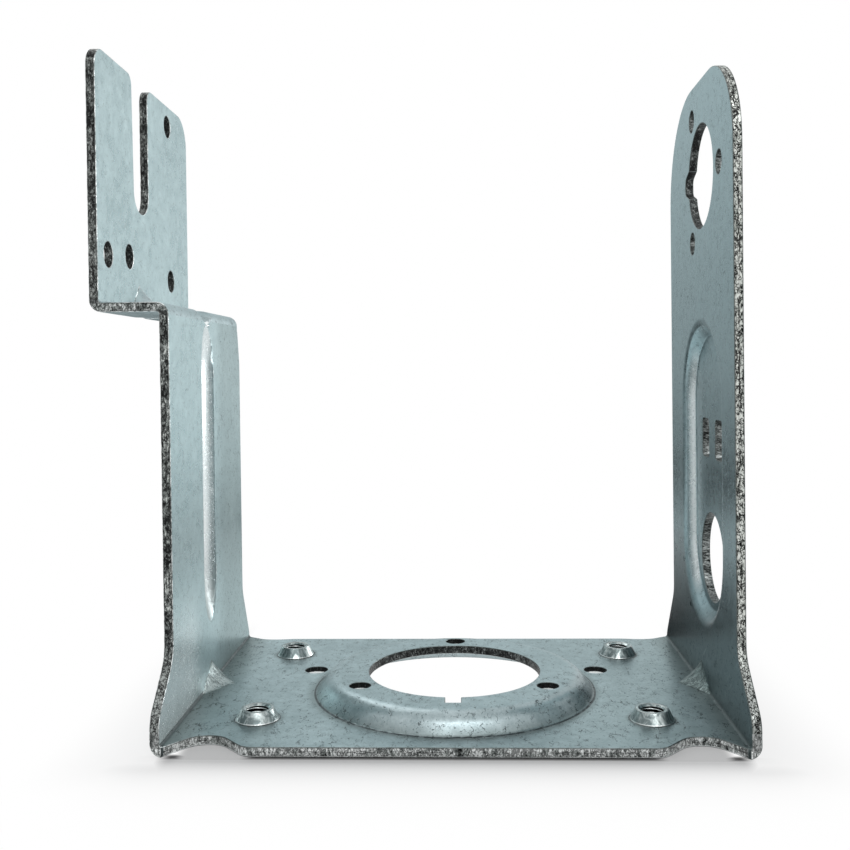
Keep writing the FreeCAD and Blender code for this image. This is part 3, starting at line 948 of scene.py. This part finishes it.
@dataclass(frozen=True)
class Floor:
    """A pale floor that keeps the bracket's shadow, turns plain white further out and is clear
    from below. Its own measures are beside, out past the feet, and ahead, out past the front edge.
    """

    half_size: float = 12.0
    below: float = 0.00005
    foot_x: float = 74.5
    front_y: float = 53.2
    falloff: float = 0.15
    across_front: Fade = Fade("beside", -4.0, 20.0, 1.0, 0.0)
    lit_gap: Fade = Fade("ahead", 0.0, 7.0, 0.30, 1.0)
    foot: Fade = Fade("beside", -5.0, 1.0, 1.0, 0.0)
    arch: tuple = (Fade("off_centre", 48.0, 53.0), Fade("off_centre", 66.0, 70.0, 1.0, 0.0))
    arch_mouth: Fade = Fade("y", -58.0, -50.0)
    arch_inside: Fade = Fade("y", -44.0, -34.0, 1.0, 0.0)
    front_edge: Fade = Fade("y", -50.0, -48.0, 1.0, 0.0)
    side_strip: tuple = (Fade("beside", -1.0, 1.0), Fade("beside", 0.0, 30.0, 0.22, 0.0),
                         Fade("ahead", 0.0, 24.0, 1.0, 0.0), Fade("y", 40.0, 85.0, 1.0, 0.0))
    # Painted contact shade: the floor's colour under the front edge, the feet and the arches.
    under_front: Fade = Fade("y", -52.4, -50.8, 0.50, 0.09)
    under_side: Fade = Fade("beside", -6.0, 0.0, 0.0, 0.50)
    under_arch: float = 0.42
    mouth_light: float = 0.15

    def shadow(self, tree: Tree, place: dict[str, Socket], arch: Socket) -> Socket:
        """How much of its true shadow the floor keeps.

        Args:
            tree: The node tree.
            place: The measures, by name.
            arch: A value that is 1 under the base's arches.

        Returns:
            The share, from 0 on the plain white floor to 1.
        """
        near = arithmetic(tree, "EXPONENT", product(tree, place["ahead"], -self.falloff))
        beyond = largest(tree, region(tree, place, self.lit_gap), region(tree, place, self.foot))
        mouth = product(tree, arch, region(tree, place, self.arch_mouth))
        inward = largest(tree, region(tree, place, self.front_edge),
                         product(tree, arch, region(tree, place, self.arch_inside)))
        front = product(tree, near, region(tree, place, self.across_front), beyond,
                        total(tree, [(mouth, -self.mouth_light)], 1.0), inward)
        return largest(tree, front, region(tree, place, *self.side_strip))

    def laminate(self) -> bpy.types.Material:
        """Make the floor's material.

        Returns:
            The finished material.
        """
        material, tree = new_material("floor_white_laminate")
        place = measures(tree)
        place["beside"] = arithmetic(tree, "SUBTRACT", place["off_centre"], self.foot_x)
        place["ahead"] = largest(tree, total(tree, [(place["y"], -1.0)], -self.front_y), 0.0)
        arch = region(tree, place, *self.arch)
        # Painted contact shade: the floor's own colour darkens just under the bracket's edges.
        grey = largest(tree, region(tree, place, self.under_front), product(tree, arch, self.under_arch),
                       region(tree, place, self.under_side))
        grey = add_node(tree, "ShaderNodeCombineColor", {}, {channel: grey for channel in range(3)})
        matt = add_node(tree, "ShaderNodeBsdfDiffuse", {}, {"Color": grey.outputs[0]})
        white = add_node(tree, "ShaderNodeEmission", {"Color": linear(WHITE), "Strength": 1.0})
        plain = arithmetic(tree, "SUBTRACT", 1.0, self.shadow(tree, place, arch))
        top = add_node(tree, "ShaderNodeMixShader", {}, {0: product(tree, plain, seen_directly(tree)),
                                                         1: matt.outputs[0], 2: white.outputs[0]})
        under = add_node(tree, "ShaderNodeBsdfTransparent")
        surface(tree, add_node(tree, "ShaderNodeMixShader", {}, {
            0: add_node(tree, "ShaderNodeNewGeometry").outputs["Backfacing"],
            1: top.outputs[0], 2: under.outputs[0]}))
        return material

    def build(self) -> None:
        """Lay the floor."""
        mesh = bmesh.new()
        bmesh.ops.create_grid(mesh, x_segments=8, y_segments=8, size=self.half_size)
        data = bpy.data.meshes.new("floor")
        mesh.to_mesh(data)
        mesh.free()
        floor = bpy.data.objects.new("floor", data)
        floor.location = (0, 0, -self.below)
        bpy.context.scene.collection.objects.link(floor)
        data.materials.append(self.laminate())


@dataclass(frozen=True)
class Card:
    """A graded card off camera that sets what the metal reflects from its side.

    Left and right hold its grey levels there, low and high, and across and rise the X and Z
    between which they turn.
    """

    name: str
    corners: tuple
    left: tuple
    right: tuple
    across: tuple = (-0.3, 0.5)
    rise: tuple = (0.0, 1.3)
    tint: str = "#effdff"

    def build(self) -> None:
        """Hang the card."""
        data = bpy.data.meshes.new(self.name)
        data.from_pydata(self.corners, [], [tuple(range(len(self.corners)))])
        card = bpy.data.objects.new(self.name, data)
        bpy.context.scene.collection.objects.link(card)
        material, tree = new_material(self.name + "_cloth")
        place = add_node(tree, "ShaderNodeSeparateXYZ", {},
                         {0: add_node(tree, "ShaderNodeTexCoord").outputs["Object"]}).outputs
        turn = ramp(tree, place[0], *self.across)
        low, high = (ramp(tree, turn, 0, 1, *ends, False) for ends in zip(self.left, self.right))
        level = add_node(tree, "ShaderNodeMix", {"data_type": "FLOAT"},
                         {0: ramp(tree, place[2], *self.rise), 2: low, 3: high})
        surface(tree, add_node(tree, "ShaderNodeEmission", {"Color": linear(self.tint)},
                               {"Strength": level.outputs[0]}))
        data.materials.append(material)
        card.visible_camera = False
        card.visible_shadow = False
        card.visible_diffuse = False


@dataclass(frozen=True)
class SoftLamp:
    """A rectangular soft lamp that looks at a point."""

    name: str
    at: tuple
    aim: tuple
    size: tuple
    watts: float

    def build(self) -> None:
        """Hang the lamp."""
        data = bpy.data.lights.new(self.name, "AREA")
        data.shape = "RECTANGLE"
        data.size, data.size_y = self.size
        data.energy = self.watts
        lamp = bpy.data.objects.new(self.name, data)
        lamp.location = self.at
        lamp.rotation_mode = "QUATERNION"
        lamp.rotation_quaternion = (Vector(self.aim) - Vector(self.at)).to_track_quat("-Z", "Y")
        bpy.context.scene.collection.objects.link(lamp)


def floor_card(name: str, corners: tuple, left: float, right: float, across: tuple) -> Card:
    """A card that lies just above the floor, given by X and Y of its corners."""
    return Card(name, tuple((x, y, 0.0003) for x, y in corners), (left, left), (right, right), across)


@dataclass
class Studio:
    """White surroundings and floor, four graded cards, three soft lamps and the camera."""

    camera_at: tuple = (0.00458, -0.29489, 0.09569)
    right: tuple = (0.99910644, 0.04045043, -0.01225059)
    up: tuple = (0.01170297, 0.01374702, 0.99983702)
    forward: tuple = (-0.04061225, 0.99908697, -0.01326135)
    lens: float = 42.41
    shift: tuple = (-0.0011, -0.0512)
    fill: str = "#fefeff"
    fill_strength: float = 0.8
    cards: tuple = (
        Card("rear_screen", ((1.1, 3, -0.02), (-8, 3, -0.02), (-8, 3, 3.2), (1.1, 3, 3.2)),
             (0.52, 0.86), (1.0, 0.84)),
        floor_card("near_floor_cloth", ((0.075, 0.057), (0.03, 0.3), (-0.2, 0.3), (-0.2, 0.057)),
                   0.95, 0.06, (-0.02, 0.02)),
        floor_card("middle_floor_cloth", ((1.1, 0.3), (1.1, 0.8), (-2, 0.8), (-1.2, 0.3)),
                   0.03, 0.9, (-0.05, 0.06)),
        floor_card("far_floor_cloth", ((1.1, 0.8), (1.1, 2.99), (-6, 2.99), (-2, 0.8)),
                   0.34, 1.0, (-0.15, 0.15)))
    lamps: tuple = (
        SoftLamp("top_front_lamp", (0.15, -1.0, 1.15), (0, 0, 0.05), (0.9, 0.5), 6.5),
        SoftLamp("top_rear_lamp", (-0.7, 0.9, 1.25), (0, -0.05, 0), (1.0, 1.0), 3.6),
        SoftLamp("right_lamp", (1.15, 1.05, 0.3), (-0.07, 0, 0.09), (0.45, 0.6), 5.6))

    def camera(self) -> None:
        """Place the camera at the photograph's viewpoint."""
        data = bpy.data.cameras.new("camera")
        data.sensor_width = 36.0
        data.lens = self.lens
        data.shift_x, data.shift_y = self.shift
        data.clip_start, data.clip_end = 0.01, 100.0
        camera = bpy.data.objects.new("camera", data)
        bpy.context.scene.collection.objects.link(camera)
        turn = Matrix((self.right, self.up, [-c for c in self.forward])).transposed().to_4x4()
        camera.matrix_world = Matrix.Translation(self.camera_at) @ turn
        bpy.context.scene.camera = camera

    def world(self) -> None:
        """White surroundings that also give the soft fill light."""
        world = bpy.data.worlds.new("studio")
        bpy.context.scene.world = world
        world.use_nodes = True
        tree = world.node_tree
        tree.nodes.clear()
        fill = add_node(tree, "ShaderNodeBackground",
                        {"Color": linear(self.fill), "Strength": self.fill_strength})
        white = add_node(tree, "ShaderNodeBackground", {"Color": linear(WHITE), "Strength": 1.0})
        mixed = add_node(tree, "ShaderNodeMixShader", {},
                         {0: seen_directly(tree), 1: fill.outputs[0], 2: white.outputs[0]})
        add_node(tree, "ShaderNodeOutputWorld", {}, {"Surface": mixed.outputs[0]})

    def build(self) -> None:
        """Set up the whole studio."""
        self.camera()
        self.world()
        Floor().build()
        for piece in self.cards + self.lamps:
            piece.build()
        bpy.context.scene.view_settings.view_transform = "Standard"


def finishes() -> dict:
    """Make the material of each zone: rolled skins, sheared edges and walls, and drawn forms.

    Returns:
        The materials by zone.
    """
    foot = "#9a9f9d"
    # Painted shade in the creases round the ring's toe and the collars' feet.
    ring_crease = (0, -3.9, 40.4, 0.42, 0.95, 3.0)
    collar_creases = tuple((x, y, 6.0, 0.34, 0.85, 1.7)
                           for x in (-COLLAR_X, COLLAR_X) for y in (-COLLAR_Y, COLLAR_Y))
    table = {
        Zone.SKIN: GalvanisedSheet(
            "zinc_coated_steel_skin_passed", light="#b3c1c4", dark="#8a999c", roughness=0.33,
            craze_depth=0.75, stretch=(1.0, 0.6, 1.0), rings=(ring_crease,) + collar_creases,
            scratch_turns=((0, 0, 24), (0, 0, -50)), fold=Fold.BASE, bend_reach=12.0,
            # The base's painted shade: beside its folds and over its right side.
            bend_shade=0.72, shaded_regions=(BASE_RIGHT_SIDE,)),
        Zone.LEG_SKIN: GalvanisedSheet(
            "zinc_coated_steel_skin_passed_left", light="#b2c3c5", dark="#8ea1a4", roughness=0.29,
            craze_depth=0.45, bend_reach=3.0, bend_shade=0.20,
            # Painted shade on the far side and at the groove's end, a painted highlight in the groove,
            # painted light at the foot.
            shaded_regions=(LEFT_FAR_SIDE, GROOVE_END), painted_highlights=(GROOVE_FLOOR,), painted_light_patches=(LEFT_FOOT,)),
        # The right leg's skin: a darker copy of the skin, with painted shade rising 46 mm from its fold.
        Zone.RIGHT_SKIN: GalvanisedSheet(
            "zinc_coated_steel_skin_passed_right_painted_shade", light="#a1b4b8", dark="#7d9196",
            roughness=0.28, craze_depth=0.45, bend_reach=46.0, bend_shade=0.84,
            painted_shade="#3c494d", painted_highlights=(PANEL_SLOPE,)),
        Zone.PLATE_EDGE: ShearedEdge(
            "steel_sheared_plate_edge", Across.EVEN, share_dark=0.58, light="#b1b6b3",
            middle="#6e7270", fleck_mm=0.7, skins=Skins.PLATE),
        Zone.LEFT_EDGE: ShearedEdge(
            "steel_sheared_left_edge", Across.EVEN, share_dark=0.50, light="#c1c6c3",
            middle="#777c7a", foot=(15.0, 24.0, foot), fleck_mm=0.75, crack_depth=0.95,
            tear_line=0.8, skins=Skins.LEG),
        Zone.BASE_EDGE: ShearedEdge(
            "steel_sheared_base_edge", Across.FLAT, share_dark=0.30, light="#f0f4f3",
            middle="#9aa09e", dark="#1c1e1e", fleck_mm=0.75, crack_depth=0.75, tear_line=0.6,
            border=0.55, shear_and_light_bands=((-0.3, 0.30),)),
        Zone.PIERCED: ShearedEdge(
            "steel_pierced_small_hole_wall", Across.BASE, share_dark=0.80, light="#7d8281",
            middle="#3c3f3f", border=0.0, shear_and_light_bands=((-0.6, 0.95), (5.0, 6.15))),
        Zone.RIGHT_EDGE: ShearedEdge(
            "steel_sheared_right_edge", Across.EVEN, share_dark=0.20, light="#d2d6d1",
            middle="#9aa09b", dark="#0c0d0d", fleck_mm=0.8, crack_depth=1.0, tear_line=0.95,
            foot=(14.0, 26.0, foot), skins=Skins.LEG),
        Zone.HOLE_WALL: ShearedEdge(
            "steel_pierced_hole_wall", Across.EVEN, share_dark=0.62, light="#a6abaa",
            middle="#585c5b", border=0.0),
        Zone.SCREW_WALL: ShearedEdge(
            "steel_pierced_screw_hole_wall", Across.LEG, share_dark=0.46, light="#b9bfbe",
            middle="#7c8281", dark="#141515", border=0.0, crack_depth=0.75),
        Zone.LEDGE_EDGE: ShearedEdge(
            "steel_sheared_ledge_edge", Across.FLAT, share_dark=0.40, light="#d2d7d6",
            middle="#808684", crack_depth=0.8, skins=Skins.LEDGE),
        Zone.WEB: DrawnZinc(
            "zinc_drawn_web", light="#a9b5b5", dark="#4c5656", roughness=0.34,
            stretch=(0.5, 1.0, 0.5), ripple_mm=0.9, relief_mm=0.30, wander=2.6,
            # Painted shade on the right-hand web.
            shaded_side_light="#7c8988", far_from=(-10.0, 10.0)),
        Zone.COLLAR: DrawnZinc(
            "zinc_drawn_collar", light="#c9d3d2", dark="#687374", roughness=0.32,
            stretch=(0.6, 0.6, 0.25), ripple_mm=1.1,
            # Painted highlight rings at the collar's foot and lip.
            bright_levels=((2.45, 2.85, 0.6), (5.5, 7.0, 0.5))),
        Zone.RIM: DrawnZinc(
            "zinc_worn_rim", light="#eef3f3", dark="#59605f", roughness=0.3,
            # Painted shade on the rims right of the left leg, and a painted highlight at the collars'
            # lips.
            stretch=(0.6, 0.6, 0.6), shaded_side_light="#6d7575", bright_levels=((4.8, 6.4, 0.25),)),
    }
    return {zone: finish.build() for zone, finish in table.items()}


def main() -> None:
    """Build the studio and the bracket, and note each piece."""
    logging.basicConfig(level=logging.INFO, format="%(name)s: %(message)s")
    Studio().build()
    sheet = FoldedSheet(finishes=finishes()).build()
    log.info("%s: %d faces", sheet.name, len(sheet.data.polygons))
    threads = TappedThreads(finish=CutThread("steel_cut_thread").build()).build()
    log.info("%s: %d faces", threads.name, len(threads.data.polygons))


if __name__ == "__main__":
    main()
